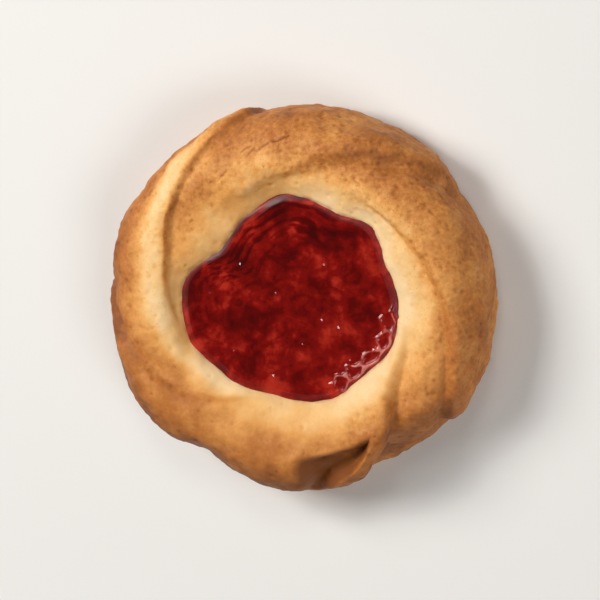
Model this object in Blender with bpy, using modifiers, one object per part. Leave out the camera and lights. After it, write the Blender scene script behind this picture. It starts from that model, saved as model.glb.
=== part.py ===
"""Strawberry jam cookie: a ring of piped, baked dough with a pool of jam in its middle.

The cookie lies on its flat underside with the jam up. Metres, +Z up, origin in the middle of
its box on the underside. The dough is a turned ring with a floor, creased where the star
nozzle's teeth ran, and the jam is a second solid that sits in the well.
"""

from collections import namedtuple
from math import atan2, cos, degrees, exp, hypot, pi, radians, sin, sqrt

import bmesh
import bpy

# Driving sizes in metres
COOKIE_RADIUS = 0.0318
UNDERSIDE_RADIUS = 0.0282
CREST_HEIGHT = 0.0168
RING_RADIUS = 0.0245
RING_CENTRE_HEIGHT = 0.0072
RING_INNER_WIDTH = 0.0098
WELL_FLOOR_HEIGHT = 0.0076
WELL_FLOOR_RADIUS = 0.0120
JAM_LEVEL = 0.0134
JAM_DOME = 0.0009
JAM_RADIUS = 0.0172
JAM_SIDE_GAP = 0.0009
JAM_FLOOR_GAP = 0.0003

# Mesh fineness
TURN_STEPS = 180
RING_ARC_STEPS = 25
JAM_RINGS = 8

# How the round form gives way to the real one
OUTER_ROUNDNESS = 2.3
INNER_ROUNDNESS = 2.0
OUTLINE_SWELL = 0.020
OUTLINE_SWELL_ANGLE = 110
WELL_WARP_REACH = 0.0250

# Slow swells of the jam's face: height in metres, waves per metre along X and Y, start in turns
JAM_SWELLS = ((0.0004, 50, 0, 0.1), (0.0003, 0, 43, 0.3), (0.0002, 89, -68, 0.0))
JAM_CALM_EDGE = 0.7

# The jam's outline: angle in degrees from +X, and radius in metres
JAM_OUTLINE = (
    (0, 0.0172), (24, 0.0168), (47, 0.0184), (66, 0.0171), (93, 0.0181), (118, 0.0164),
    (142, 0.0151), (172, 0.0189), (195, 0.0188), (222, 0.0166), (255, 0.0149), (297, 0.0161),
    (314, 0.0158), (346, 0.0174),
)

# Changes of the round outline: middle angle and width in degrees, and height in metres
RIM_CHANGES = (
    (-149, 14, 0.0015), (-117, 10, -0.0013), (-76, 8, -0.0008), (-55, 13, -0.0024), (163, 15, 0.0010),
)

# Each crease runs from the jam's edge out over the ring, turning clockwise as it goes.
# Angles are in degrees from +X, the rest is in metres. Lean is how much of the turn comes evenly;
# the rest comes towards the jam, as bend says. The fold that overhangs a crease is on its
# counter-clockwise side (+1) or its clockwise side (-1). Wall is the width of the fold's own side,
# slope that of the other side. Reach is how far in it goes, 0 on the rim and 1 at the jam's edge.
Crease = namedtuple("Crease", "jam_angle rim_angle lean bend jam_depth rim_depth wall slope side crest reach")
CREASES = (
    Crease(184, 104, 0, 1.95, 0.0004, 0.0005, 0.0012, 0.0042, +1, 0.0006, 1.4),
    Crease(98, 36, 0.6, 2.4, 0.0005, 0.0014, 0.0016, 0.0020, +1, 0.0008, 0.95),
    Crease(78, -38, 0, 2.5, 0.0008, 0.0013, 0.0013, 0.0028, +1, 0.0004, 0.94),
    Crease(0, -73, 0.55, 9.0, 0.0014, 0.0026, 0.0014, 0.0050, -1, 0.0008, 1.2),
    Crease(-100, -124, 0, 1.3, 0.0003, 0.0008, 0.0013, 0.0040, +1, 0.0001, 0.7),
    Crease(-122, -188, 0, 1.5, 0.0005, 0.0010, 0.0013, 0.0036, +1, 0.0004, 1.1),
)
CREASE_FADE = 0.3
CREASE_ROUNDING = 0.2
CREST_BACK = 0.0044
SECTION_REACH = 0.0096

# Hollow under the end of the piping. Its left edge is straight, its right edge runs along a thin
# ridge from HOLLOW_RIGHT on the rim, and HOLLOW_TURN is how far that turns by the jam's edge.
HOLLOW_LEFT = -92
HOLLOW_RIGHT = -88
HOLLOW_TURN = 50
HOLLOW_EDGE = 10
HOLLOW_DEPTH = 0.0019

# Places on the ring's section: 0 is the outside, 90 degrees the top and 180 the jam's side
WELL_SECTION = radians(172)
CREASE_JAM_SECTION = radians(130)
RELIEF_FADE_START = radians(110)
RELIEF_FADE_END = radians(140)
SHOULDER_SECTION = radians(10)
FOOT_SECTION = radians(-58)


def clear_scene():
    for found in list(bpy.data.objects):
        bpy.data.objects.remove(found, do_unlink=True)


def make_collection(name):
    collection = bpy.data.collections.new(name)
    bpy.context.scene.collection.children.link(collection)
    return collection


def make_material(name, colour, roughness):
    material = bpy.data.materials.new(name)
    material.use_nodes = True
    shader = material.node_tree.nodes["Principled BSDF"]
    shader.inputs["Base Color"].default_value = (*colour, 1)
    shader.inputs["Roughness"].default_value = roughness
    shader.inputs["Metallic"].default_value = 0
    return material


def smoothstep(low, high, value):
    share = min(max((value - low) / (high - low), 0), 1)
    return share * share * (3 - 2 * share)


def bell(value, width):
    return exp(-(value / width) ** 2)


def turned_away(turn, middle):
    """Difference of two angles in degrees, between -180 and 180."""
    return (turn - middle + 180) % 360 - 180


def jam_edge(angle):
    """Radius of the jam's outline at an angle in radians, eased from point to point."""
    turn = degrees(angle) % 360
    points = JAM_OUTLINE + ((360, JAM_OUTLINE[0][1]),)
    for (start, near), (end, far) in zip(points, points[1:]):
        if turn <= end:
            break
    return near + (far - near) * smoothstep(start, end, turn)


def section_angle(radius, height):
    """Place on the ring's round section: 0 on the outside, 90 degrees on top, 180 at the jam."""
    width = COOKIE_RADIUS - RING_RADIUS if radius > RING_RADIUS else RING_INNER_WIDTH
    across = (radius - RING_RADIUS) / width
    up = (height - RING_CENTRE_HEIGHT) / (CREST_HEIGHT - RING_CENTRE_HEIGHT)
    return atan2(up, across)


def section_point(place):
    """Radius and height on the ring's section, rounder on the jam's side than on the outside."""
    outer = cos(place) > 0
    width = COOKIE_RADIUS - RING_RADIUS if outer else RING_INNER_WIDTH
    power = OUTER_ROUNDNESS if outer else INNER_ROUNDNESS
    reach = (abs(cos(place)) ** power + abs(sin(place)) ** power) ** (1 / power)
    radius = RING_RADIUS + width * cos(place) / reach
    height = RING_CENTRE_HEIGHT + (CREST_HEIGHT - RING_CENTRE_HEIGHT) * sin(place) / reach
    return radius, height


def distance_along(place):
    """How far in along the creases a place on the section is, 0 on the rim and 1 at the jam."""
    return min(max(place / CREASE_JAM_SECTION, 0), 1)


def crease_angle(crease, along):
    """Angle of a crease in degrees, where along is 0 on the rim and 1 at the jam."""
    share = crease.lean * along + (1 - crease.lean) * along ** crease.bend
    return crease.rim_angle + (crease.jam_angle - crease.rim_angle) * share


def distance_from(crease, turn, along, radius):
    """Distance square to a crease's course, above 0 on the side of its fold."""
    around = radians(turned_away(turn, crease_angle(crease, along))) * radius
    turning = crease.lean + (1 - crease.lean) * crease.bend * max(along, 0.01) ** (crease.bend - 1)
    slant = radians(crease.jam_angle - crease.rim_angle) * turning * radius / (CREASE_JAM_SECTION * SECTION_REACH)
    return around / sqrt(1 + slant ** 2) * crease.side


def under_end(turn, along, place):
    """Share of the hollow's depth under the end of the piping."""
    left = smoothstep(HOLLOW_LEFT, HOLLOW_LEFT + HOLLOW_EDGE * 2, turn)
    right = 1 - smoothstep(-HOLLOW_EDGE, 0, turn - HOLLOW_RIGHT - HOLLOW_TURN * along)
    return left * right * (1 - smoothstep(radians(70), radians(98), place))


def piping_relief(turn, place, radius):
    """How far the piped ridges lift the ring's surface, in metres, below zero in a crease."""
    along = distance_along(place)
    lift = sum(change * bell(turned_away(turn, middle), width) for middle, width, change in RIM_CHANGES)
    lift *= 1 - smoothstep(radians(35), radians(90), place)
    for crease in CREASES:
        away = distance_from(crease, turn, along, radius)
        there = 1 - smoothstep(crease.reach - CREASE_FADE, crease.reach, along)
        depth = (crease.rim_depth + (crease.jam_depth - crease.rim_depth) * along) * there
        width = crease.wall if away > 0 else crease.slope
        lift -= depth * exp(CREASE_ROUNDING - sqrt(CREASE_ROUNDING ** 2 + (away / width) ** 2))
        beyond = away - 2.2 * crease.wall
        lift += crease.crest * there * bell(beyond, CREST_BACK if beyond > 0 else 1.3 * crease.wall)
    return lift - HOLLOW_DEPTH * under_end(turn, along, place)


def dough_profile():
    """Half section of the dough: out over the well's floor, over the ring and in underneath."""
    start = WELL_SECTION
    end = FOOT_SECTION
    points = [(WELL_FLOOR_RADIUS, WELL_FLOOR_HEIGHT)]
    for step in range(RING_ARC_STEPS + 1):
        place = start + (end - start) * step / RING_ARC_STEPS
        radius, height = section_point(place)
        if height > WELL_FLOOR_HEIGHT or place < pi / 2:
            points.append((radius, max(height, 0)))
    points.append((UNDERSIDE_RADIUS, 0))
    return points


def turn_profile(name, points, collection):
    """Turns a profile about Z with a Screw modifier and returns the result as a plain mesh object."""
    mesh = bpy.data.meshes.new(name + "_profile")
    edges = [(i, i + 1) for i in range(len(points) - 1)]
    mesh.from_pydata([(radius, 0, height) for radius, height in points], edges, [])
    profile = bpy.data.objects.new(name + "_profile", mesh)
    collection.objects.link(profile)
    screw = profile.modifiers.new("Turn", "SCREW")
    screw.axis = "Z"
    screw.steps = TURN_STEPS
    screw.render_steps = TURN_STEPS
    screw.use_merge_vertices = True
    screw.merge_threshold = 0.00001
    bpy.context.view_layer.update()
    evaluated = profile.evaluated_get(bpy.context.evaluated_depsgraph_get())
    turned = bpy.data.meshes.new_from_object(evaluated)
    turned.name = name
    piece = bpy.data.objects.new(name, turned)
    collection.objects.link(piece)
    bpy.data.objects.remove(profile, do_unlink=True)
    return piece


def cap_openings(piece):
    """Closes the well's floor and the underside with one flat face each."""
    shape = bmesh.new()
    shape.from_mesh(piece.data)
    rim = [edge for edge in shape.edges if edge.is_boundary]
    bmesh.ops.holes_fill(shape, edges=rim, sides=TURN_STEPS)
    bmesh.ops.recalc_face_normals(shape, faces=shape.faces)
    shape.to_mesh(piece.data)
    shape.free()


def shape_dough(piece):
    """Moves the turned ring's points to the piped form: ridges, jam outline and uneven rim."""
    for vertex in piece.data.vertices:
        x, y, height = vertex.co
        radius = hypot(x, y)
        place = section_angle(radius, height)
        angle = atan2(y, x)
        if height > 0:
            shoulder = smoothstep(FOOT_SECTION, SHOULDER_SECTION, place)
            inner_fade = 1 - smoothstep(RELIEF_FADE_START, RELIEF_FADE_END, place)
            lift = piping_relief(degrees(angle), place, radius) * shoulder * inner_fade
            radius += lift * cos(place)
            height += lift * sin(place)
        warp = 1 - smoothstep(JAM_RADIUS, WELL_WARP_REACH, radius)
        radius += (jam_edge(angle) - JAM_RADIUS) * warp * min(radius / JAM_RADIUS, 1)
        radius *= 1 + OUTLINE_SWELL * cos(angle - radians(OUTLINE_SWELL_ANGLE))
        vertex.co = (radius * cos(angle), radius * sin(angle), height)


def split_faces(piece):
    """Splits each four-sided face along its shorter diagonal, so that the splits follow the creases."""
    shape = bmesh.new()
    shape.from_mesh(piece.data)
    quads = [face for face in shape.faces if len(face.verts) == 4]
    bmesh.ops.triangulate(shape, faces=quads, quad_method="SHORT_EDGE")
    shape.to_mesh(piece.data)
    shape.free()


def jam_profile():
    """Half section of the jam: a low dome to the edge, then down the well and in underneath."""
    edge = JAM_RADIUS - JAM_SIDE_GAP
    foot = WELL_FLOOR_RADIUS - JAM_SIDE_GAP
    bottom = WELL_FLOOR_HEIGHT + JAM_FLOOR_GAP
    points = []
    for step in range(JAM_RINGS + 1):
        share = step / JAM_RINGS
        points.append((edge * share, JAM_LEVEL + JAM_DOME * (1 - share ** 4)))
    points.append((foot, bottom))
    points.append((0, bottom))
    return points


def jam_unevenness(x, y):
    """Slow swells and hollows of the set jam, in metres."""
    return sum(size * sin(2 * pi * (x * across + y * up + start)) for size, across, up, start in JAM_SWELLS)


def shape_jam(piece):
    for vertex in piece.data.vertices:
        x, y, height = vertex.co
        radius = hypot(x, y)
        angle = atan2(y, x)
        if height > (WELL_FLOOR_HEIGHT + JAM_LEVEL) / 2:
            calm = 1 - smoothstep(JAM_RADIUS * JAM_CALM_EDGE, JAM_RADIUS - JAM_SIDE_GAP, radius)
            height += jam_unevenness(x, y) * calm
        radius += (jam_edge(angle) - JAM_RADIUS) * min(radius / JAM_RADIUS, 1)
        radius *= 1 + OUTLINE_SWELL * cos(angle - radians(OUTLINE_SWELL_ANGLE))
        vertex.co = (radius * cos(angle), radius * sin(angle), height)


def centre_on_box(pieces):
    """Moves the pieces together so that the middle of the cookie's box is over the origin."""
    points = [vertex.co for piece in pieces for vertex in piece.data.vertices]
    middle_x = (min(p.x for p in points) + max(p.x for p in points)) / 2
    middle_y = (min(p.y for p in points) + max(p.y for p in points)) / 2
    for piece in pieces:
        for vertex in piece.data.vertices:
            vertex.co.x -= middle_x
            vertex.co.y -= middle_y


def finish(piece, material):
    piece.data.materials.append(material)
    piece.data.shade_smooth()
    piece.data.set_sharp_from_angle(angle=radians(50))


def main():
    clear_scene()
    cookie = make_collection("strawberry_jam_cookie")
    dough = turn_profile("dough", dough_profile(), cookie)
    cap_openings(dough)
    shape_dough(dough)
    split_faces(dough)
    jam = turn_profile("jam", jam_profile(), cookie)
    shape_jam(jam)
    centre_on_box([dough, jam])
    finish(dough, make_material("baked_dough", (0.62, 0.36, 0.14), 0.75))
    finish(jam, make_material("strawberry_jam", (0.25, 0.012, 0.010), 0.15))


main()
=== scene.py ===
"""Looks of the strawberry jam cookie: piped, baked dough with a pool of set strawberry jam.

The dough and the jam are modelled again here at a fineness that shows the crumb, the pits and
the jam's skin, in the frame's own place and size. Metres, +Z up.
"""

from collections import namedtuple
from itertools import product
from math import cos, pi, radians, sin

import bpy
import numpy as np
from mathutils import Matrix, Vector, kdtree


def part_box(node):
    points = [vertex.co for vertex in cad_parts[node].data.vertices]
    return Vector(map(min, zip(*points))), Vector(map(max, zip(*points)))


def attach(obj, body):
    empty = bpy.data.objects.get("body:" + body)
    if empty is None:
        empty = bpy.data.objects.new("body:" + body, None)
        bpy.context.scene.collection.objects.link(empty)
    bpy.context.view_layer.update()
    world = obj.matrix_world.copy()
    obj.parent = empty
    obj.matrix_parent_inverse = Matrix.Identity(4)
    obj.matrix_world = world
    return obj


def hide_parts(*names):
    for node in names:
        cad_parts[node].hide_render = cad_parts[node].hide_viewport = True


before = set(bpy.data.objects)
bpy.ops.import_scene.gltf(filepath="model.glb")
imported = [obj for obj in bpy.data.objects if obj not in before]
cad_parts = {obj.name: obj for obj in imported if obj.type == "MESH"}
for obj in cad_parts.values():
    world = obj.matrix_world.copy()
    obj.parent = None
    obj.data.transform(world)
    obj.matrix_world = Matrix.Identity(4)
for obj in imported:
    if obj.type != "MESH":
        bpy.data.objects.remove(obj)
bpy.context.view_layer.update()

# Sizes of the cookie, as in the solids
COOKIE_RADIUS = 0.0318
UNDERSIDE_RADIUS = 0.0282
CREST_HEIGHT = 0.0168
RING_RADIUS = 0.0245
RING_CENTRE_HEIGHT = 0.0072
RING_INNER_WIDTH = 0.0098
WELL_FLOOR_HEIGHT = 0.0076
WELL_FLOOR_RADIUS = 0.0120
JAM_LEVEL = 0.0134
JAM_RADIUS = 0.0172
OUTER_ROUNDNESS = 2.3
INNER_ROUNDNESS = 2.0
OUTLINE_SWELL = 0.020
OUTLINE_SWELL_ANGLE = radians(110)
WELL_WARP_REACH = 0.0250

# The jam's outline: angle in degrees from +X, and radius in metres
JAM_OUTLINE = (
    (0, 0.0172), (24, 0.0168), (47, 0.0184), (66, 0.0171), (93, 0.0181), (118, 0.0164),
    (142, 0.0151), (172, 0.0189), (195, 0.0188), (222, 0.0166), (255, 0.0149), (297, 0.0161),
    (314, 0.0158), (346, 0.0174), (360, 0.0172),
)

# Changes of the round outline: middle angle and width in degrees, and height in metres
RIM_CHANGES = (
    (-149, 14, 0.0015), (-117, 10, -0.0013), (-76, 8, -0.0008), (-55, 13, -0.0024),
    (163, 15, 0.0010),
)
RIM_SECTION = (35, 90)

# Creases of the piping, from the jam's edge out over the ring. Angles in degrees, sizes in metres.
# Lean is how much of the turn comes evenly, the rest comes towards the jam, as bend says.
# Crest is the height of the fold beside the crease.
# The fold that overhangs a crease is on its counter-clockwise side (+1) or its clockwise side (-1).
# Wall is the width of the fold's own side of the crease, and slope that of the other side.
# Reach is how far in the crease goes, 0 on the rim and 1 at the jam's edge.
Crease = namedtuple(
    "Crease", "jam_angle rim_angle lean bend jam_depth rim_depth wall slope side crest reach")
CREASES = (
    Crease(184, 104, 0, 1.95, 0.0003, 0.0004, 0.0004, 0.0042, +1, 0.0007, 1.3),
    Crease(98, 36, 0.6, 2.4, 0.0005, 0.0014, 0.0016, 0.0020, +1, 0.0008, 0.95),
    Crease(78, -38, 0, 2.5, 0.0008, 0.0013, 0.0008, 0.0028, +1, 0.0004, 0.94),
    Crease(0, -73, 0.55, 9.0, 0.0014, 0.0026, 0.0005, 0.0050, -1, 0.0008, 1.2),
    Crease(-100, -124, 0, 1.3, 0.0003, 0.0008, 0.0010, 0.0040, +1, 0.0001, 0.7),
    Crease(-122, -188, 0, 1.5, 0.0005, 0.0010, 0.0008, 0.0036, +1, 0.0004, 1.1),
)
CREASE_FADE = 0.16
CREASE_ROUNDING = 0.2
DEEP_CREASE = 0.002
SECTION_REACH = 0.0096

# Crest of a fold: its distance from the crease and its front in widths of the wall, and its back
CREST_AWAY = 2.2
CREST_FRONT = 1.3
CREST_BACK = 0.0044

# Browner edge of a fold: its distance from the crease in widths of the wall, and its width
FOLD_EDGE_AWAY = 1.2
FOLD_EDGE_WIDTH = 0.0008

# Hollow under the end of the piping, with its angles in degrees. Its left edge is straight, its
# right edge runs along a thin ridge from HOLLOW_RIGHT on the rim, and HOLLOW_TURN is how far that
# turns by the jam's edge. Its painted shade is as dark as so many creases, from a share of its
# depth on.
HOLLOW_LEFT = -90
HOLLOW_RIGHT = -88
HOLLOW_TURN = 50
HOLLOW_EDGE = 3.5
HOLLOW_SECTION = (76, 92)
HOLLOW_DEPTH = 0.0032
HOLLOW_SHADE = 3
HOLLOW_SHADE_FROM = 1 / 3

# Places on the ring's section: 0 is the outside, 90 degrees the top and 180 the jam's side
WELL_SECTION = radians(172)
CREASE_JAM_SECTION = radians(130)
RELIEF_FADE_SECTION = (110, 140)
SHOULDER_SECTION = radians(10)
FOOT_SECTION = radians(-58)

# Mesh fineness, before one plain subdivision
RING_COLUMNS = 280
RING_ROWS = 70
UNDERSIDE_ROWS = 10
JAM_COLUMNS = 240
JAM_ROWS = 74
JAM_ROW_CROWDING = 0.72

# Dough surface. A pit reaches PIT_SPREAD times its radius, with walls as steep as PIT_WALL says
LUMP_SIZE = 0.0062
LUMP_HEIGHT = 0.00042
SWELL_SIZE = 0.0026
SWELL_HEIGHT = 0.00016
SWELL_SMOOTH = 0.4
CRUMB_SIZE = 0.0011
CRUMB_HEIGHT = 0.00015
CRUMB_FADE = 0.4
CRUMB_SMOOTH = 0.15
PIT_COUNT = 1500
PIT_CANDIDATES = 40000
PIT_RADIUS = (0.00022, 0.00052)
PIT_DEPTH = (0.00008, 0.00026)
PIT_SPREAD = 1.8
PIT_WALL = 1.6
PIT_LOWEST = 0.0005
PIT_LEAST = 0.05
ROUGH_SECTION = (140, 150)
LOW_EDGE = 0.0012

# How crumbly the crust is, 0 for smooth dough and 1 for rough crust
CRUMBLY_LEAST = 0.35
CRUMBLY_MIDDLE = 70
CRUMBLY_SIDE = 0.8
CRUMBLY_SLOPE = 0.2
CRUMBLY_SIDE_SECTION = (5, 60)
CRUMBLY_SLOPE_SECTION = (95, 135)

# Patches of the crust: middle and width round the cookie and on the ring's section, all in
# degrees, and how much browner or more crumbly they are, or how much painted shade or light they
# get
Patch = namedtuple("Patch", "turn turn_width section section_width change")
CRUMBLY_PATCH = Patch(-57, 8, 104, 12, 0.5)
# Painted shade at the top right, painted light on the outer top of the left fold, and painted light
# where the slope at the top left lies in shade
PAINTED_SHADE_AND_LIGHT_PATCHES = (
    Patch(64, 18, 60, 22, 0.12), Patch(131, 14, 58, 22, -0.32), Patch(106, 9, 98, 16, -0.20),
)
BROWN_SPOT = Patch(-58, 11, 86, 20, 0.18)

# Browner stretches of the slope beside the jam, partly painted shade where the slope lies in shade:
# middle and width in degrees, and the change
SLOPE_BROWNING_AND_SHADE_PATCHES = ((197, 16, 0.36), (100, 13, 0.30), (-21, 11, 0.14), (122, 9, 0.14))

# Stretches round the cookie: middle and width in degrees. The left, the lower left, the lower
# right, the end of the piping and the top right get painted shade, the left and the top right along
# with browner crust.
LEFT = (195, 60)
RIGHT = (2, 38)
UPPER_LEFT = (145, 55)
LOWER_LEFT = (235, 42)
SHADED_LOWER_RIGHT = (-42, 24)
SHADED_PIPING_END = (-96, 26)
SHADED_TOP_RIGHT_MIDDLE = 75

# Stretches of the ring's section in which something eases in, in degrees
SIDE_SECTION = (20, 90)
SIDE_FOOT_SECTION = (-35, 25)
SLOPE_SECTION = (80, 122)
RIGHT_SLOPE_SECTION = (70, 110)
END_FOOT_SECTION = (-25, 25)
END_TOP_SECTION = (50, 80)
END_SLOPE_SECTION = (92, 116)
MOTTLED_SIDE_SECTION = (0, 50)

# Browning of the crust, 0 for pale dough and 1 for the darkest crust, and what changes it. Some of
# it is painted shade or painted light, not browning.
BROWN_BASE = 0.44
BROWNING_AND_PAINTED_SHADING = {
    # Painted shade: the side, the left side and the top right (each partly browner crust), the
    # lower right and the lower left
    "side": 0.34, "shaded left side": 0.32, "foot": 0.14, "slope": -0.12, "shaded top right": 0.14,
    "lower right": 0.22, "shaded lower left": 0.24, "beside the jam": -0.32, "right slope": -0.14,
    # Painted shade in the creases (partly browner crust), beside the left fold and on the end of
    # the piping, less of it on that end's top and slope; painted light on the left fold's crest
    "crease": 0.18, "fold": 0.22, "painted shade beside the left fold": 0.11, "painted light on the left fold's crest": -0.40,
    "end of the piping": 0.40, "top of that end": -0.08, "slope of that end": -0.28,
}
BROWN_LIMIT = 0.64
BROWN_PAST_LIMIT = 0.45
# Painted shade on the left side, added past the limit
PAINTED_SHADE_LEFT_RIM = 0.10
BROWN_CRACK = 0.32
BROWN_FOOT_HEIGHTS = (0.0004, 0.0050)
SIDE_FOOT_SHARE = 0.3
# Painted shade beside the long fold on the left and painted light on its crest, each a distance
# from the crease and a width, and where along the fold they start
LEFT_FOLD_SHADE = (-0.0014, 0.0028)
LEFT_FOLD_LIGHT = (0.0038, 0.0034)
LEFT_FOLD_START = 0.1
RIGHT_SLOPE_REACH = (0.006, 0.009)
PALE_REACH = 0.0038
PALE_UPPER_LEFT = 0.25
PALE_LOWER_LEFT = 0.8
STAIN_REACH = (-0.0002, 0.0007)

# Mottling of the crust: size, seed and strength, and how much stronger it is low on the side
MOTTLING = ((0.009, 41, 0.10), (0.0036, 45, 0.08))
MOTTLING_LOW = 0.05

# Cracks of the crust: points that each one passes, and its depth
CRACKS = (
    (((-0.0030, 0.0274), (-0.0016, 0.0279), (-0.0002, 0.0285)), 0.00026),
    (((-0.0070, 0.0250), (-0.0061, 0.0262), (-0.0054, 0.0259), (-0.0037, 0.0271)), 0.00018),
    (((-0.0136, 0.0202), (-0.0118, 0.0212), (-0.0105, 0.0224)), 0.00024),
    (((-0.0175, 0.0133), (-0.0166, 0.0141)), 0.00018),
    (((-0.0082, 0.0256), (-0.0070, 0.0264)), 0.00018),
    (((0.0105, 0.0219), (0.0114, 0.0210)), 0.00018),
)
CRACK_WIDTH = 0.00017
CRACK_WANDER = 0.00028
CRACK_WANDER_SIZE = 0.0011
CRACK_LOWEST = 0.008

# Jam surface
JAM_TOP_FROM = JAM_LEVEL - 0.0005
JAM_CLEARANCE = 0.0003
JAM_FOOT_CLEARANCE = 0.0006
JAM_OVERLAP = 0.0004
JAM_CROWN = 0.0006
JAM_EDGE_WIDTH = 0.0014
JAM_EDGE_DROP = 0.0005
CALM_EDGE = (0.0002, 0.0014)
THIN_EDGE = (0.0002, 0.0030)

# Lumps of pulp, with furrows between them, coarse and fine
PULP_SIZE = 0.0034
PULP_HEIGHT = 0.00003
PULPY_SIZE = 0.009
PULPY_FROM = (-0.35, 0.25)
PULPY_IN_STREAKS = 0.3
FURROW_WIDTH = 0.17
FURROW_WANDER = 0.0008
FURROW_WANDER_SIZE = 0.0026
FINE_FURROW_SIZE = 0.55
FINE_FURROW_DEPTH = 0.6

# Swells of the jam's skin: size, seed, layers and height
JAM_SWELLS = ((0.0075, 51, 1, 0.00024), (0.0026, 55, 2, 0.00004))

# Streaks of the skin at the upper left, along the jam's edge
STREAK_SIZE = 0.0040
STREAK_STRETCH = 4
STREAK_HEIGHT = 0.00003
STREAK_WANDER = 0.0012
STREAK_WANDER_SIZE = 0.005
STREAK_TONES = (-0.3, 0.5)
STREAK_MIDDLE = 112
STREAK_WIDTH = 62
STREAK_REACH = (0.0050, 0.0085)

# Chain of loops on the rim at the lower right. A course runs at a distance from the edge, swings
# by so much, and is so wide. A wander has a height, a size and a seed
LOOP_LENGTH = 0.0037
LOOP_HEIGHT = 0.00036
LOOP_MIDDLE = -31
LOOP_SPREAD = 34
LOOP_OUTER_COURSE = (0.0009, 0.0002, 0.00034)
LOOP_INNER_COURSE = (0.0026, -0.0005, 0.00036)
LOOP_INNER_HEIGHT = 0.9
LOOP_TIE_WIDTH = 0.24
LOOP_TIE_HEIGHT = 0.8
LOOP_TIE_START = (0.0007, 0.0011)
LOOP_TIE_END = (0.0024, 0.0028)
LOOP_LIMIT = 1.1
LOOP_ZONE_END = (0.0028, 0.0036)
LOOP_WANDER_INWARD = (0.0004, 0.0020, 61)
LOOP_WANDER_ALONG = (0.0009, 0.0045, 62)
LOOP_UNEVENNESS = (0.5, 0.0013, 63)
LOOP_EVEN_HEIGHT = 0.75

# Bubbles, whose height is a share of their radius
BUBBLE_COUNT = 11
BUBBLE_MARGIN = 0.0022
BUBBLE_RADIUS = (0.0003, 0.0006)
BUBBLE_HEIGHT = 0.36

# Colours, with the value at which each one of a row is reached
CRUST_TONES = (
    (0.00, (0.89, 0.63, 0.34)),
    (0.25, (0.84, 0.50, 0.19)),
    (0.50, (0.73, 0.335, 0.085)),
    (0.75, (0.48, 0.165, 0.032)),
    (1.00, (0.24, 0.070, 0.012)),
)
SPECK_COLOUR = (0.30, 0.13, 0.035, 1)
STAIN_COLOUR = (0.36, 0.06, 0.04, 1)
JAM_TONES = (
    (0.34, (0.40, 0.022, 0.010)),
    (0.48, (0.21, 0.004, 0.0025)),
    (0.62, (0.11, 0.0014, 0.0012)),
    (0.80, (0.055, 0.001, 0.001)),
)
# Partly painted highlight on the chain of loops, partly paler dried skin
LOOP_HIGHLIGHT_COLOUR = (0.58, 0.22, 0.20, 1)
FLOOR_COLOUR = (0.80, 0.79, 0.77, 1)

# Values between which a pattern of the materials eases in
SPECK_VALUES = (0.64, 0.72)
STAIN_VALUES = (0.3, 0.75)
LOOP_VALUES = (0.38, 0.85)
DULL_VALUES = (0.3, 0.9)

# Bumps of the materials: strength and distance, and the shares of the crust's two grains
CRUST_BUMP = (0.5, 0.00012)
SKIN_BUMP = (0.08, 0.0001)
GRAIN_BUMP = 0.6
FINE_GRAIN_BUMP = 0.4

# Noises of the materials: scale, detail and roughness
MOTTLE_NOISE = (420, 4, 0.6)
GRAIN_NOISE = (1500, 3, 0.6)
FINE_GRAIN_NOISE = (4200, 2, 0.6)
SPECK_NOISE = (2600, 2, 0.5)
STAIN_NOISE = (500, 2, 0.5)
PULP_NOISE = (210, 5, 0.62)
SKIN_NOISE = (1000, 2, 0.5)

# How much each pattern browns the crust, and how rough the crust is
MOTTLE_BROWNING = 0.34
GRAIN_BROWNING = 0.45
PIT_BROWNING = 0.16
SPECK_STRENGTH = 0.55
CRUST_ROUGHNESS = 0.62
MOTTLE_ROUGHNESS = 0.25

# How much each pattern darkens the jam
FURROW_DARKENING = 0.09
STREAK_DARKENING = 0.26
THIN_DARKENING = -0.08
# The chain of loops is lighter: partly painted highlight, partly paler dried skin
LOOP_DARKENING = -0.15
LOOP_HIGHLIGHT_SHARE = 0.75
JAM_ROUGHNESS = 0.09
JAM_EDGE_ROUGHNESS = 0.42

# Camera and light. A lamp has a name, a place, a size, a power and a colour
VIEW_YAW = radians(15.6)
VIEW_PITCH = radians(9.3)
CAMERA_DISTANCE = 0.68
LENS = 250
LAMPS = (
    ("key_light", (-0.46, 0.28, 0.60), 0.34, 5.3, (1.0, 0.98, 0.95)),
    ("glint_light", (-0.42, 0.34, 0.62), 0.05, 0.35, (1.0, 0.98, 0.95)),
    ("fill_light", (0.42, -0.20, 0.62), 0.34, 1.8, (1.0, 0.99, 0.97)),
    ("back_light", (0.10, 0.46, 0.74), 0.22, 0.9, (1.0, 0.99, 0.97)),
)
STUDIO_COLOUR = (1.0, 0.99, 0.97, 1)
STUDIO_LOW_LIGHT = 0.62
STUDIO_HIGH_LIGHT = 0.09
STUDIO_HIGH_FROM = 0.44

RNG = np.random.default_rng(7)


def smoothstep(low, high, value):
    share = np.clip((value - low) / (high - low), 0, 1)
    return share * share * (3 - 2 * share)


def bell(value, middle, width):
    return np.exp(-((value - middle) / width) ** 2)


def turned_away(turn, middle):
    """Difference of two angles in degrees, between -180 and 180."""
    return (turn - middle + 180) % 360 - 180


def around(turn, stretch):
    """1 in the middle of a stretch round the cookie, falling off over its width."""
    middle, width = stretch
    return bell(turned_away(turn, middle), 0, width)


def eased(place, section):
    """0 before a stretch of the ring's section, given in degrees, and 1 after it."""
    low, high = section
    return smoothstep(radians(low), radians(high), place)


def patch_change(patch, turn, place):
    across = bell(place, radians(patch.section), radians(patch.section_width))
    return patch.change * around(turn, (patch.turn, patch.turn_width)) * across


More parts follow.
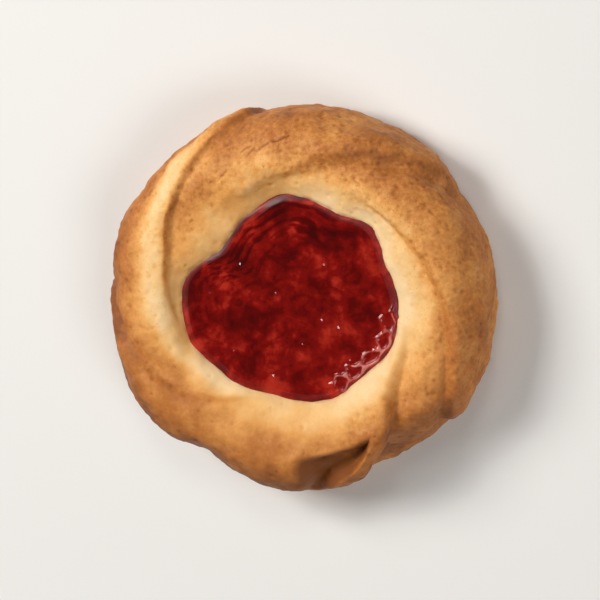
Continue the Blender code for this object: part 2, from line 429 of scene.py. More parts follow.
def lattice_noise(points, size, seed):
    """Smooth noise, about -1 to 1, whose features are about the given size."""
    rng = np.random.default_rng(seed)
    table = rng.permutation(256)
    slopes = rng.normal(size=(256, 3))
    slopes /= np.linalg.norm(slopes, axis=1)[:, None]
    place = points / size + rng.uniform(0, 100, 3)
    cell = np.floor(place).astype(int)
    inside = place - cell
    ease = inside ** 3 * (inside * (inside * 6 - 15) + 10)
    total = np.zeros(len(points))
    for corner in product((0, 1), repeat=3):
        x, y, z = ((cell + corner) % 256).T
        slope = slopes[table[(table[(table[x] + y) % 256] + z) % 256]]
        weight = np.prod(np.where(corner, ease, 1 - ease), axis=1)
        total += weight * np.einsum("ij,ij->i", slope, inside - corner)
    return total * 1.5


def layered_noise(points, size, seed, layers=3, fade=0.5):
    total = 0
    for layer in range(layers):
        total = total + lattice_noise(points, size / 2 ** layer, seed + layer) * fade ** layer
    return total


def read_points(piece):
    flat = np.empty(len(piece.data.vertices) * 3)
    piece.data.vertices.foreach_get("co", flat)
    return flat.reshape(-1, 3)


def write_points(piece, points):
    piece.data.vertices.foreach_set("co", points.ravel())
    piece.data.update()


def read_normals(piece):
    flat = np.empty(len(piece.data.vertices) * 3)
    piece.data.vertex_normals.foreach_get("vector", flat)
    return flat.reshape(-1, 3)


def set_attribute(piece, name, values):
    layer = piece.data.attributes.new(name, "FLOAT", "POINT")
    layer.data.foreach_set("value", np.asarray(values, np.float32))


def jam_edge(turn):
    """Radius of the jam's outline at angles in degrees, eased from point to point."""
    turns, edges = np.array(JAM_OUTLINE).T
    turn = turn % 360
    left = np.clip(np.searchsorted(turns, turn, side="right") - 1, 0, len(turns) - 2)
    share = smoothstep(turns[left], turns[left + 1], turn)
    return edges[left] + (edges[left + 1] - edges[left]) * share


def section_angle(radius, height):
    """Place on the ring's round section."""
    width = np.where(radius > RING_RADIUS, COOKIE_RADIUS - RING_RADIUS, RING_INNER_WIDTH)
    across = (radius - RING_RADIUS) / width
    up = (height - RING_CENTRE_HEIGHT) / (CREST_HEIGHT - RING_CENTRE_HEIGHT)
    return np.arctan2(up, across)


def section_point(place):
    """Radius and height on the ring's section, rounder on the jam's side than on the outside."""
    outer = cos(place) > 0
    width = COOKIE_RADIUS - RING_RADIUS if outer else RING_INNER_WIDTH
    power = OUTER_ROUNDNESS if outer else INNER_ROUNDNESS
    reach = (abs(cos(place)) ** power + abs(sin(place)) ** power) ** (1 / power)
    radius = RING_RADIUS + width * cos(place) / reach
    height = RING_CENTRE_HEIGHT + (CREST_HEIGHT - RING_CENTRE_HEIGHT) * sin(place) / reach
    return radius, height


def distance_along(place):
    """How far in along the creases a place on the section is, 0 on the rim and 1 at the jam."""
    return np.clip(place / CREASE_JAM_SECTION, 0, 1)


def crease_angle(crease, along):
    share = crease.lean * along + (1 - crease.lean) * along ** crease.bend
    return crease.rim_angle + (crease.jam_angle - crease.rim_angle) * share


def distance_from(crease, turn, along, radius):
    """Distance square to a crease's course, above 0 on the side of its fold."""
    sideways = np.radians(turned_away(turn, crease_angle(crease, along))) * radius
    bending = crease.bend * np.maximum(along, 0.01) ** (crease.bend - 1)
    turning = crease.lean + (1 - crease.lean) * bending
    turning *= radians(crease.jam_angle - crease.rim_angle)
    slant = turning * radius / (CREASE_JAM_SECTION * SECTION_REACH)
    return sideways / np.sqrt(1 + slant ** 2) * crease.side


def under_end(turn, along, place):
    """Share of the hollow's depth under the end of the piping."""
    left = smoothstep(HOLLOW_LEFT, HOLLOW_LEFT + HOLLOW_EDGE * 3, turn)
    right = 1 - smoothstep(-HOLLOW_EDGE, 0, turn - HOLLOW_RIGHT - HOLLOW_TURN * along)
    return left * right * (1 - eased(place, HOLLOW_SECTION))


def piping_relief(turn, place, radius):
    """Lift of the piped folds over the plain ring, how deep in a crease or the hollow each point
    is, for painted shade there, and how close to the edge of a fold."""
    along = distance_along(place)
    lift = np.zeros(len(turn))
    crease_shade_mask = np.zeros(len(turn))
    fold_mask = np.zeros(len(turn))
    for crease in CREASES:
        away = distance_from(crease, turn, along, radius)
        there = 1 - smoothstep(crease.reach - CREASE_FADE, crease.reach, along)
        depth = (crease.rim_depth + (crease.jam_depth - crease.rim_depth) * along) * there
        width = np.where(away > 0, crease.wall, crease.slope)
        cut = np.exp(CREASE_ROUNDING - np.sqrt(CREASE_ROUNDING ** 2 + (away / width) ** 2))
        top = crease.wall * CREST_AWAY
        crest = bell(away, top, np.where(away < top, crease.wall * CREST_FRONT, CREST_BACK))
        lift += crease.crest * crest * there - depth * cut
        # Painted shade, darker in deeper creases, partly browner crust in them
        crease_shade_mask = np.maximum(crease_shade_mask, cut * depth / DEEP_CREASE)
        fold_edge = bell(away, crease.wall * FOLD_EDGE_AWAY, FOLD_EDGE_WIDTH) * there
        fold_mask = np.maximum(fold_mask, fold_edge)
    hollow = under_end(turn, along, place)
    # Painted shade in the hollow under the end of the piping
    hollow_shade_mask = HOLLOW_SHADE * np.minimum(hollow / HOLLOW_SHADE_FROM, 1)
    return lift - HOLLOW_DEPTH * hollow, np.maximum(crease_shade_mask, hollow_shade_mask), fold_mask


def start_editing():
    bpy.ops.object.mode_set(mode="EDIT")
    bpy.ops.mesh.select_mode(type="EDGE")


def extrude_to(radius, from_radius, height, from_height):
    """Extrudes the selected loop and takes it to a new radius and height."""
    bpy.ops.mesh.extrude_edges_move(TRANSFORM_OT_translate={"value": (0, 0, height - from_height)})
    scale = radius / from_radius
    bpy.ops.transform.resize(value=(scale, scale, 1), center_override=(0, 0, height))


def extrude_profile(profile):
    """Extrudes the selected loop along a list of radii and heights, the first of which it has."""
    for (from_radius, from_height), (radius, height) in zip(profile, profile[1:]):
        extrude_to(radius, from_radius, height, from_height)


def select_open_edge():
    bpy.ops.mesh.select_all(action="DESELECT")
    bpy.ops.mesh.select_non_manifold(
        extend=False, use_wire=False, use_boundary=True, use_multi_face=False,
        use_non_contiguous=False, use_verts=False)


def finish_cage(piece, name):
    """Turns the faces out, leaves edit mode and divides every face in four."""
    bpy.ops.mesh.select_all(action="SELECT")
    bpy.ops.mesh.normals_make_consistent(inside=False)
    bpy.ops.object.mode_set(mode="OBJECT")
    piece.name = name
    piece.data.name = name
    fineness = piece.modifiers.new("Fineness", "SUBSURF")
    fineness.subdivision_type = "SIMPLE"
    fineness.levels = 1
    fineness.render_levels = 1
    bpy.ops.object.modifier_apply(modifier=fineness.name)


def add_loop(name, columns, radius, height):
    bpy.ops.object.select_all(action="DESELECT")
    bpy.ops.mesh.primitive_circle_add(vertices=columns, radius=radius, fill_type="NOTHING",
                                      location=(0, 0, 0))
    piece = bpy.context.object
    start_editing()
    bpy.ops.mesh.select_all(action="SELECT")
    bpy.ops.transform.translate(value=(0, 0, height))
    return piece


def model_dough():
    """The ring, its well and its underside, extruded loop by loop, before its piping is shaped."""
    foot = (UNDERSIDE_RADIUS, 0)
    profile = [foot]
    for row in range(1, RING_ROWS + 1):
        place = FOOT_SECTION + (WELL_SECTION - FOOT_SECTION) * row / RING_ROWS
        radius, height = section_point(place)
        if height > 0 and (height > WELL_FLOOR_HEIGHT or place < pi / 2):
            profile.append((radius, height))
    profile += [(WELL_FLOOR_RADIUS, WELL_FLOOR_HEIGHT), (WELL_FLOOR_RADIUS / 4, WELL_FLOOR_HEIGHT)]
    dough = add_loop("dough_body", RING_COLUMNS, *foot)
    extrude_profile(profile)
    bpy.ops.mesh.merge(type="COLLAPSE")
    select_open_edge()
    rows = range(UNDERSIDE_ROWS)
    extrude_profile([(UNDERSIDE_RADIUS * (1 - row / UNDERSIDE_ROWS), 0) for row in rows])
    bpy.ops.mesh.merge(type="COLLAPSE")
    finish_cage(dough, "dough_body")
    return dough


def shape_dough(piece):
    """Moves the ring's points to the piped form and returns where each one lies on the ring."""
    points = read_points(piece)
    radius = np.hypot(points[:, 0], points[:, 1])
    height = points[:, 2].copy()
    place = section_angle(radius, height)
    angle = np.arctan2(points[:, 1], points[:, 0])
    turn = np.degrees(angle)
    relief, crease_shade_mask, fold_mask = piping_relief(turn, place, radius)
    shoulder = smoothstep(FOOT_SECTION, SHOULDER_SECTION, place)
    fade = shoulder * (1 - eased(place, RELIEF_FADE_SECTION))
    fade[height <= 0] = 0
    outer = 1 - eased(place, RIM_SECTION)
    for middle, width, change in RIM_CHANGES:
        relief += change * around(turn, (middle, width)) * outer
    radius = radius + relief * fade * np.cos(place)
    height = height + relief * fade * np.sin(place)
    warp = 1 - smoothstep(JAM_RADIUS, WELL_WARP_REACH, radius)
    radius += (jam_edge(turn) - JAM_RADIUS) * warp * np.minimum(radius / JAM_RADIUS, 1)
    radius *= 1 + OUTLINE_SWELL * np.cos(angle - OUTLINE_SWELL_ANGLE)
    write_points(piece, np.column_stack((radius * np.cos(angle), radius * np.sin(angle), height)))
    return turn % 360, place, crease_shade_mask * fade, fold_mask * fade


def push_out(piece, amount):
    """Moves each point along its normal, and keeps the underside flat."""
    points = read_points(piece)
    flat = points[:, 2] <= 1e-6
    moved = points + read_normals(piece) * amount[:, None]
    moved[:, 2] = np.maximum(moved[:, 2], 0)
    moved[flat, 2] = 0
    write_points(piece, moved)


def point_tree(points):
    tree = kdtree.KDTree(len(points))
    for number, point in enumerate(points):
        tree.insert(point, number)
    tree.balance()
    return tree


def pit_centres(turn, place, share):
    """Numbers of the points nearest to random places on the ring, more of them where share is
    high. The order of the mesh's points, which isn't the same each run, plays no part."""
    angle = np.radians(turn)
    ring = point_tree(np.column_stack((np.cos(angle), np.sin(angle), place)))
    draws = RNG.uniform(size=(PIT_CANDIDATES, 3))
    angles = 2 * pi * draws[:, 0]
    places = FOOT_SECTION + (WELL_SECTION - FOOT_SECTION) * draws[:, 1]
    nearest = np.array([ring.find((cos(a), sin(a), p))[1] for a, p in zip(angles, places)])
    rank = np.log(draws[:, 2]) / np.maximum(share[nearest], 1e-9)
    return nearest[np.argsort(-rank)[:PIT_COUNT]]


def pit_depths(points, centres):
    """Small round pits round the given points."""
    tree = point_tree(points)
    depths = np.zeros(len(points))
    for centre in centres:
        reach = RNG.uniform(*PIT_RADIUS)
        deep = RNG.uniform(*PIT_DEPTH)
        for _, number, away in tree.find_range(points[centre], reach * PIT_SPREAD):
            depths[number] = max(depths[number], deep * np.exp(-(away / reach) ** 2 * PIT_WALL))
    return depths


def crack_depths(points):
    """Depth of the crust's cracks, which wander a little between the points that they pass."""
    flat = points * (1, 1, 0)
    wander = [lattice_noise(flat, CRACK_WANDER_SIZE, seed) for seed in (71, 72)]
    place = points[:, :2] + np.column_stack(wander) * CRACK_WANDER
    depths = np.zeros(len(points))
    for course, depth in CRACKS:
        for start, end in zip(course, course[1:]):
            start, step = np.array(start), np.subtract(end, start)
            share = np.clip((place - start) @ step / (step @ step), 0, 1)
            away = np.linalg.norm(place - start - share[:, None] * step, axis=1)
            depths = np.maximum(depths, depth * bell(away, 0, CRACK_WIDTH))
    return depths * (points[:, 2] > CRACK_LOWEST)


def roughen_dough(piece, turn, place):
    """Lumps, crumb and pits of the baked surface. The slope beside the jam stays smooth."""
    points = read_points(piece)
    slope = eased(place, CRUMBLY_SLOPE_SECTION)
    side = 1 - eased(place, CRUMBLY_SIDE_SECTION)
    toward = 0.5 + 0.5 * np.cos(np.radians(turn - CRUMBLY_MIDDLE))
    crumbly = (CRUMBLY_LEAST + (1 - CRUMBLY_LEAST) * toward) * (1 - (1 - CRUMBLY_SLOPE) * slope)
    crumbly += (CRUMBLY_SIDE - crumbly) * side
    crumbly += patch_change(CRUMBLY_PATCH, turn, place)
    low = smoothstep(0, LOW_EDGE, points[:, 2])
    above_jam = 1 - eased(place, ROUGH_SECTION)
    shape = LUMP_HEIGHT * layered_noise(points, LUMP_SIZE, 11, 2)
    swells = layered_noise(points, SWELL_SIZE, 21, 2)
    shape += SWELL_HEIGHT * swells * (SWELL_SMOOTH + (1 - SWELL_SMOOTH) * crumbly)
    push_out(piece, shape * low * above_jam)
    points = read_points(piece)
    crumb = layered_noise(points, CRUMB_SIZE, 31, 2, CRUMB_FADE)
    crumb = CRUMB_HEIGHT * crumb * (CRUMB_SMOOTH + (1 - CRUMB_SMOOTH) * crumbly)
    share = (PIT_LEAST + crumbly ** 2) * low * above_jam * (points[:, 2] > PIT_LOWEST)
    pits = pit_depths(points, pit_centres(turn, place, share))
    cracks = crack_depths(points)
    push_out(piece, (crumb - np.maximum(pits, cracks)) * low * above_jam)
    return crumbly, pits, cracks


def left_fold_shade_and_light(turn, place, radius):
    """How close each point is to the foot and to the crest of the long fold on the left, which get
    painted shade and painted light.
    """
    along = distance_along(place)
    away = distance_from(CREASES[0], turn, along, radius)
    there = smoothstep(0, LEFT_FOLD_START, along)
    return there * bell(away, *LEFT_FOLD_SHADE), there * bell(away, *LEFT_FOLD_LIGHT)


def brown_and_shade_masks(points, turn, place, beyond):
    """Shares of the places that the crust's browning and its painted shade and painted light depend
    on, by name.
    """
    pale = bell(np.maximum(beyond, 0), 0, PALE_REACH) * (place > pi / 2)
    slope = eased(place, SLOPE_SECTION)
    side = 1 - eased(place, SIDE_SECTION)
    side *= SIDE_FOOT_SHARE + (1 - SIDE_FOOT_SHARE) * eased(place, SIDE_FOOT_SECTION)
    toward = 0.5 + 0.5 * np.cos(np.radians(turn - SHADED_TOP_RIGHT_MIDDLE))
    right_slope = around(turn, RIGHT) * eased(place, RIGHT_SLOPE_SECTION)
    fold_shade, fold_light = left_fold_shade_and_light(turn, place, np.hypot(points[:, 0], points[:, 1]))
    end = around(turn, SHADED_PIPING_END) * eased(place, END_FOOT_SECTION)
    # Painted shade on the side (partly browner crust), the left side, the top right (partly browner
    # crust), the lower right, the lower left, beside the left fold and on the end of the piping;
    # painted light on the left fold's crest
    return {
        "side": side,
        "shaded left side": side * around(turn, LEFT),
        "foot": 1 - smoothstep(*BROWN_FOOT_HEIGHTS, points[:, 2]),
        "slope": slope,
        "shaded top right": toward * (1 - slope),
        "lower right": around(turn, SHADED_LOWER_RIGHT) * (1 - slope),
        "shaded lower left": around(turn, LOWER_LEFT) * (1 - (1 - PALE_LOWER_LEFT) * pale),
        "beside the jam": pale * (1 - (1 - PALE_UPPER_LEFT) * around(turn, UPPER_LEFT)),
        "right slope": right_slope * (1 - smoothstep(*RIGHT_SLOPE_REACH, beyond)),
        "painted shade beside the left fold": fold_shade,
        "painted light on the left fold's crest": fold_light,
        "end of the piping": end,
        "top of that end": end * eased(place, END_TOP_SECTION),
        "slope of that end": end * eased(place, END_SLOPE_SECTION),
    }


def paint_dough(piece, turn, place, crease_shade_mask, fold_mask, crumbly, pits, cracks):
    """Stores how brown each point is, with painted shade and painted light in that, and how crumbly
    and how stained with jam.
    """
    points = read_points(piece)
    edge = jam_edge(turn) * (1 + OUTLINE_SWELL * np.cos(np.radians(turn) - OUTLINE_SWELL_ANGLE))
    beyond = np.hypot(points[:, 0], points[:, 1]) - edge
    masks = brown_and_shade_masks(points, turn, place, beyond) | {"crease": crease_shade_mask, "fold": fold_mask}
    brown_and_painted_shading = BROWN_BASE + sum(BROWNING_AND_PAINTED_SHADING[name] * mask for name, mask in masks.items())
    # Patches of painted shade and painted light
    brown_and_painted_shading += sum(patch_change(patch, turn, place) for patch in PAINTED_SHADE_AND_LIGHT_PATCHES)
    # Browner, warmer slope where it lies in shade, partly painted shade
    for middle, width, change in SLOPE_BROWNING_AND_SHADE_PATCHES:
        brown_and_painted_shading += change * masks["slope"] * around(turn, (middle, width))
    brown_and_painted_shading = np.minimum(brown_and_painted_shading, BROWN_LIMIT + BROWN_PAST_LIMIT * (brown_and_painted_shading - BROWN_LIMIT))
    # More painted shade on the left side
    brown_and_painted_shading += PAINTED_SHADE_LEFT_RIM * masks["shaded left side"]
    low = 1 - eased(place, MOTTLED_SIDE_SECTION)
    for size, seed, strength in MOTTLING:
        brown_and_painted_shading += (strength + MOTTLING_LOW * low) * layered_noise(points, size, seed, 2)
    brown_and_painted_shading += BROWN_CRACK * cracks / PIT_DEPTH[1] + patch_change(BROWN_SPOT, turn, place)
    set_attribute(piece, "browning_and_painted_shading", brown_and_painted_shading)
    set_attribute(piece, "crumbly", crumbly)
    set_attribute(piece, "stain", (1 - smoothstep(*STAIN_REACH, beyond)) * (place > pi / 2))
    set_attribute(piece, "pit", np.clip(pits / PIT_DEPTH[1], 0, 1))


def model_jam():
    """A disc of loops that lie closer together near its rim, with a foot down in the well."""
    shares = [1 - (row / JAM_ROWS) ** (1 / JAM_ROW_CROWDING) for row in range(JAM_ROWS)]
    jam = add_loop("jam_pool", JAM_COLUMNS, JAM_RADIUS, JAM_LEVEL)
    extrude_profile([(JAM_RADIUS * share, JAM_LEVEL) for share in shares])
    bpy.ops.mesh.merge(type="COLLAPSE")
    select_open_edge()
    floor = WELL_FLOOR_HEIGHT + JAM_CLEARANCE
    foot = WELL_FLOOR_RADIUS - JAM_FOOT_CLEARANCE
    extrude_profile([(JAM_RADIUS, JAM_LEVEL), (foot, floor), (foot / 8, floor)])
    bpy.ops.mesh.merge(type="COLLAPSE")
    finish_cage(jam, "jam_pool")
    return jam


def pulp_furrows(plan):
    """Winding furrows between the lumps of pulp, 1 in a furrow."""
    wander = [lattice_noise(plan, FURROW_WANDER_SIZE, seed) for seed in (54, 55, 56)]
    place = plan + np.column_stack(wander) * FURROW_WANDER
    coarse = bell(lattice_noise(place, PULP_SIZE, 58), 0, FURROW_WIDTH)
    fine = bell(lattice_noise(place, PULP_SIZE * FINE_FURROW_SIZE, 59), 0, FURROW_WIDTH)
    return np.maximum(coarse, FINE_FURROW_DEPTH * fine)


def wandering(plan, kind):
    height, size, seed = kind
    return height * lattice_noise(plan, size, seed)


def loop_course(inward, turn, course):
    distance, swing, width = course
    return bell(inward, distance + swing * np.cos(turn), width)


def puckered_rim(plan, inward, arc):
    """The chain of small loops that the jam's rim has dried into."""
    inward = inward + wandering(plan, LOOP_WANDER_INWARD)
    arc = arc + wandering(plan, LOOP_WANDER_ALONG)
    turn = 2 * pi * arc / LOOP_LENGTH
    outer = loop_course(inward, turn, LOOP_OUTER_COURSE)
    inner = loop_course(inward, turn, LOOP_INNER_COURSE)
    tie = bell(np.sin(turn / 2), 0, LOOP_TIE_WIDTH)
    tie *= smoothstep(*LOOP_TIE_START, inward) * (1 - smoothstep(*LOOP_TIE_END, inward))
    chain = outer + LOOP_INNER_HEIGHT * inner + LOOP_TIE_HEIGHT * tie
    return np.clip(chain, 0, LOOP_LIMIT) * (LOOP_EVEN_HEIGHT + wandering(plan, LOOP_UNEVENNESS))


def jam_bubbles(plan):
    """Small round bubbles under the skin, at random places away from the rim."""
    height = np.zeros(len(plan))
    for _ in range(BUBBLE_COUNT):
        turn = RNG.uniform(0, 360)
        out = (jam_edge(turn) - BUBBLE_MARGIN) * np.sqrt(RNG.uniform())
        reach = RNG.uniform(*BUBBLE_RADIUS)
        centre = (out * cos(radians(turn)), out * sin(radians(turn)), 0)
        away = np.linalg.norm(plan - centre, axis=1) / reach
        height += BUBBLE_HEIGHT * reach * np.exp(-away ** 2)
    return height


def shape_jam(piece):
    """The jam's outline, its rounded edge, its puckered rim and the unevenness of its skin."""
    points = read_points(piece)
    radius = np.hypot(points[:, 0], points[:, 1])
    turn = np.degrees(np.arctan2(points[:, 1], points[:, 0]))
    share = np.clip(radius / JAM_RADIUS, 0, 1)
    top = points[:, 2] > JAM_TOP_FROM
    edge = jam_edge(turn) + JAM_OVERLAP
    outline = radius + (edge - JAM_RADIUS) * share
    outline *= 1 + OUTLINE_SWELL * np.cos(np.radians(turn) - OUTLINE_SWELL_ANGLE)
    angle = np.radians(turn)
    x, y = outline * np.cos(angle), outline * np.sin(angle)
    plan = np.column_stack((x, y, np.zeros(len(x))))
    inward = (1 - share) * edge
    arc = angle * edge
    calm = smoothstep(*CALM_EDGE, inward)
    rolled = np.clip(1 - inward / JAM_EDGE_WIDTH, 0, 1)
    round_edge = JAM_EDGE_DROP * (np.sqrt(1 - rolled ** 2) - 1)
    swells = sum(height * layered_noise(plan, size, seed, layers)
                 for size, seed, layers, height in JAM_SWELLS)
    streak_zone = np.exp(-(turned_away(turn, STREAK_MIDDLE) / STREAK_WIDTH) ** 4)
    streak_zone *= 1 - smoothstep(*STREAK_REACH, inward)
    wander = STREAK_WANDER * lattice_noise(plan, STREAK_WANDER_SIZE, 67)[:, None]
    course = np.column_stack((inward * STREAK_STRETCH, arc, 0 * arc)) + wander
    streak = layered_noise(course, STREAK_SIZE, 68, 2)
    pulpy = smoothstep(*PULPY_FROM, lattice_noise(plan, PULPY_SIZE, 57))
    furrow = pulp_furrows(plan) * pulpy * (1 - (1 - PULPY_IN_STREAKS) * streak_zone)
    loop_zone = np.exp(-(turned_away(turn, LOOP_MIDDLE) / LOOP_SPREAD) ** 6)
    loops = puckered_rim(plan, inward, arc) * loop_zone
    inside = 1 - loop_zone * (1 - smoothstep(*LOOP_ZONE_END, inward))
    fine = STREAK_HEIGHT * streak * streak_zone - PULP_HEIGHT * furrow + jam_bubbles(plan)
    skin = (swells + fine) * calm * inside + LOOP_HEIGHT * loops
    height = np.where(top, JAM_LEVEL + JAM_CROWN + round_edge + skin, points[:, 2])
    write_points(piece, np.column_stack((x, y, height)))
    set_attribute(piece, "thin", np.where(top, 1 - smoothstep(*THIN_EDGE, inward), 1))
    set_attribute(piece, "furrow", np.where(top, furrow * inside, 0))
    streak_tone = smoothstep(*STREAK_TONES, streak) * streak_zone
    set_attribute(piece, "streak", np.where(top, streak_tone, 0))
    set_attribute(piece, "loop", np.where(top, np.clip(loops, 0, 1), 0))


def shade_smooth(piece):
    bpy.ops.object.select_all(action="DESELECT")
    piece.select_set(True)
    bpy.context.view_layer.objects.active = piece
    bpy.ops.object.shade_smooth()


def place_in_frame(pieces, node):
    """Moves the pieces together in x and y so that the first has its middle across where the solid
    has it.
    """
    low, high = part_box(node)
    points = read_points(pieces[0])
    shift = np.zeros(3)
    for axis in (0, 1):
        shift[axis] = (low[axis] + high[axis] - points[:, axis].min() - points[:, axis].max()) / 2
    for piece in pieces:
        write_points(piece, read_points(piece) + shift)


def add_material(name):
    material = bpy.data.materials.new(name)
    material.use_nodes = True
    return material, material.node_tree, material.node_tree.nodes["Principled BSDF"]


def add_node(tree, kind, settings=None, **values):
    """Adds a node, sets its own settings, then its sockets' values or links, by the socket's
    name or, as i0 and i1, by its number."""
    node = tree.nodes.new(kind)
    for key, value in (settings or {}).items():
        setattr(node, key, value)
    for key, value in values.items():
        numbered = key[0] == "i" and key[1:].isdigit()
        socket = node.inputs[int(key[1:]) if numbered else key]
        if isinstance(value, bpy.types.NodeSocket):
            tree.links.new(value, socket)
        else:
            socket.default_value = value
    return node


def combine(tree, operation, first, second):
    node = add_node(tree, "ShaderNodeMath", {"operation": operation}, i0=first, i1=second)
    return node.outputs[0]


def add(tree, first, second, share):
    """First plus a share of second."""
    return combine(tree, "ADD", first, combine(tree, "MULTIPLY", second, share))


def noise(tree, place, kind):
    scale, detail, roughness = kind
    node = add_node(tree, "ShaderNodeTexNoise", Vector=place, Scale=scale, Detail=detail,
                    Roughness=roughness)
    return node.outputs["Fac"]


def between(tree, value, low, high, start=0.0, end=1.0):
    """Eases from start to end while value goes from low to high."""
    node = add_node(tree, "ShaderNodeMapRange", {"interpolation_type": "SMOOTHSTEP"}, Value=value)
    node.inputs["From Min"].default_value = low
    node.inputs["From Max"].default_value = high
    node.inputs["To Min"].default_value = start
    node.inputs["To Max"].default_value = end
    return node.outputs["Result"]


def ramp(tree, value, stops):
    node = tree.nodes.new("ShaderNodeValToRGB")
    elements = node.color_ramp.elements
    while len(elements) < len(stops):
        elements.new(0.5)
    for element, (position, colour) in zip(elements, stops):
        element.position = position
        element.color = (*colour, 1)
    tree.links.new(value, node.inputs["Fac"])
    return node.outputs["Color"]


def mix_colour(tree, share, first, second):
    """Mixes a share of a plain colour into the first one."""
    node = add_node(tree, "ShaderNodeMix", {"data_type": "RGBA"})
    tree.links.new(share, node.inputs[0])
    tree.links.new(first, node.inputs[6])
    node.inputs[7].default_value = second
    return node.outputs[2]


def attribute(tree, name):
    return add_node(tree, "ShaderNodeAttribute", {"attribute_name": name}).outputs["Fac"]


def add_bump(tree, shader, height, strength, distance):
    bump = add_node(tree, "ShaderNodeBump", Strength=strength, Distance=distance, Height=height)
    tree.links.new(bump.outputs["Normal"], shader.inputs["Normal"])


def dough_material():
    material, tree, shader = add_material("baked_dough")
    place = add_node(tree, "ShaderNodeTexCoord").outputs["Object"]
    crumbly = attribute(tree, "crumbly")
    mottle = combine(tree, "SUBTRACT", noise(tree, place, MOTTLE_NOISE), 0.5)
    grain = combine(tree, "SUBTRACT", noise(tree, place, GRAIN_NOISE), 0.5)
    brown_and_painted_shading = add(tree, attribute(tree, "browning_and_painted_shading"), mottle, MOTTLE_BROWNING)
    brown_and_painted_shading = add(tree, brown_and_painted_shading, grain, combine(tree, "MULTIPLY", crumbly, GRAIN_BROWNING))
    brown_and_painted_shading = add(tree, brown_and_painted_shading, attribute(tree, "pit"), PIT_BROWNING)
    colour = ramp(tree, brown_and_painted_shading, CRUST_TONES)
    specks = between(tree, noise(tree, place, SPECK_NOISE), *SPECK_VALUES)
    specks = combine(tree, "MULTIPLY", specks, combine(tree, "MULTIPLY", crumbly, SPECK_STRENGTH))
    colour = mix_colour(tree, specks, colour, SPECK_COLOUR)
    stain = between(tree, noise(tree, place, STAIN_NOISE), *STAIN_VALUES)
    stain = combine(tree, "MULTIPLY", attribute(tree, "stain"), stain)
    colour = mix_colour(tree, stain, colour, STAIN_COLOUR)
    tree.links.new(colour, shader.inputs["Base Color"])
    rough = add(tree, CRUST_ROUGHNESS, mottle, MOTTLE_ROUGHNESS)
    tree.links.new(rough, shader.inputs["Roughness"])
    shader.inputs["Specular IOR Level"].default_value = 0.3
    shader.inputs["Subsurface Weight"].default_value = 0.25
    shader.inputs["Subsurface Radius"].default_value = (1.0, 0.5, 0.22)
    shader.inputs["Subsurface Scale"].default_value = 0.0018
    fine = combine(tree, "MULTIPLY", noise(tree, place, FINE_GRAIN_NOISE), FINE_GRAIN_BUMP)
    add_bump(tree, shader, add(tree, fine, grain, GRAIN_BUMP), *CRUST_BUMP)
    return material


def jam_material():
    material, tree, shader = add_material("strawberry_jam")
    place = add_node(tree, "ShaderNodeTexCoord").outputs["Object"]
    thin = attribute(tree, "thin")
    loop = attribute(tree, "loop")
    depth = add(tree, noise(tree, place, PULP_NOISE), attribute(tree, "furrow"), FURROW_DARKENING)
    depth = add(tree, depth, attribute(tree, "streak"), STREAK_DARKENING)
    depth = add(tree, depth, thin, THIN_DARKENING)
    depth = add(tree, depth, loop, LOOP_DARKENING)
    # Partly painted highlight on the chain of loops, partly paler dried skin
    chain = between(tree, loop, *LOOP_VALUES, 0.0, LOOP_HIGHLIGHT_SHARE)
    colour = mix_colour(tree, chain, ramp(tree, depth, JAM_TONES), LOOP_HIGHLIGHT_COLOUR)
    tree.links.new(colour, shader.inputs["Base Color"])
    dull = combine(tree, "SUBTRACT", thin, loop)
    rough = between(tree, dull, *DULL_VALUES, JAM_ROUGHNESS, JAM_EDGE_ROUGHNESS)
    tree.links.new(rough, shader.inputs["Roughness"])
    shader.inputs["Specular IOR Level"].default_value = 0.34
    shader.inputs["Subsurface Weight"].default_value = 0.4
    shader.inputs["Subsurface Radius"].default_value = (1.0, 0.12, 0.08)
    shader.inputs["Subsurface Scale"].default_value = 0.0014
    add_bump(tree, shader, noise(tree, place, SKIN_NOISE), *SKIN_BUMP)
    return material


def floor_material():
    material, _, shader = add_material("pale_floor")
    shader.inputs["Base Color"].default_value = FLOOR_COLOUR
    shader.inputs["Roughness"].default_value = 0.7
    return material


def add_floor():
    bpy.ops.object.select_all(action="DESELECT")
    bpy.ops.mesh.primitive_plane_add(size=3, location=(0, 0, 0))
    floor = bpy.context.object
    floor.name = "floor"
    floor.data.materials.append(floor_material())


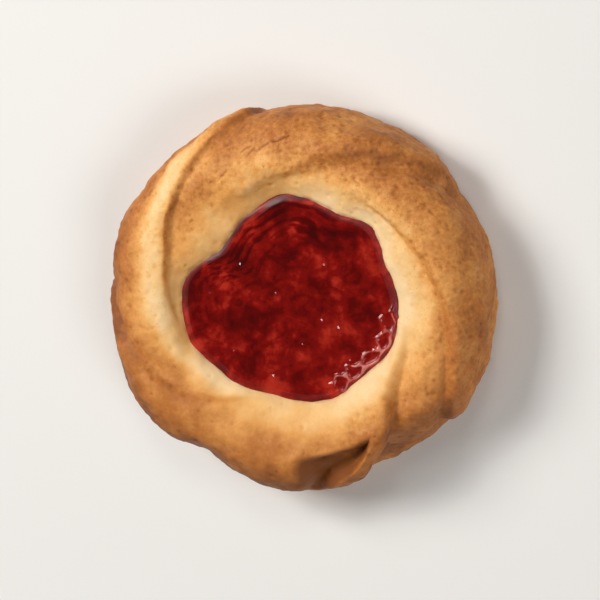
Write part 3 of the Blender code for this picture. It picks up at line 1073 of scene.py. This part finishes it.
def turned_to(direction):
    """Rotation of a camera or lamp that looks back along direction, with +Y up in its picture."""
    back = Vector(direction).normalized()
    right = Vector((0, 1, 0)).cross(back).normalized()
    return Matrix((right, back.cross(right), back)).transposed().to_euler()


def add_camera():
    level = cos(VIEW_PITCH)
    toward = Vector((sin(VIEW_YAW) * level, sin(VIEW_PITCH), cos(VIEW_YAW) * level))
    low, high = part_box("dough")
    camera = bpy.data.objects.new("camera", bpy.data.cameras.new("camera"))
    camera.data.lens = LENS
    camera.location = (low + high) / 2 + toward * CAMERA_DISTANCE
    camera.rotation_euler = turned_to(toward)
    bpy.context.collection.objects.link(camera)
    bpy.context.scene.camera = camera


def add_lamp(name, place, size, power, colour):
    lamp = bpy.data.objects.new(name, bpy.data.lights.new(name, "AREA"))
    lamp.data.size = size
    lamp.data.energy = power
    lamp.data.color = colour
    lamp.location = place
    lamp.rotation_euler = turned_to(place)
    bpy.context.collection.objects.link(lamp)


def add_lights():
    for lamp in LAMPS:
        add_lamp(*lamp)
    world = bpy.data.worlds.new("studio")
    world.use_nodes = True
    tree = world.node_tree
    direction = add_node(tree, "ShaderNodeTexCoord").outputs["Generated"]
    height = add_node(tree, "ShaderNodeSeparateXYZ", Vector=direction).outputs["Z"]
    background = tree.nodes["Background"]
    background.inputs["Color"].default_value = STUDIO_COLOUR
    strength = between(tree, height, 0.0, STUDIO_HIGH_FROM, STUDIO_LOW_LIGHT, STUDIO_HIGH_LIGHT)
    tree.links.new(strength, background.inputs["Strength"])
    bpy.context.scene.world = world


dough = model_dough()
turn, place, crease_shade_mask, fold_mask = shape_dough(dough)
crumbly, pits, cracks = roughen_dough(dough, turn, place)
paint_dough(dough, turn, place, crease_shade_mask, fold_mask, crumbly, pits, cracks)
jam = model_jam()
shape_jam(jam)
place_in_frame([dough, jam], "dough")
for piece, node, slot, material in (
    (dough, "dough", "baked_dough", dough_material()),
    (jam, "jam", "strawberry_jam", jam_material()),
):
    shade_smooth(piece)
    piece.data.materials.append(material)
    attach(piece, "root")
    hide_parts(node)

add_floor()
add_camera()
add_lights()
bpy.context.scene.view_settings.view_transform = "Standard"
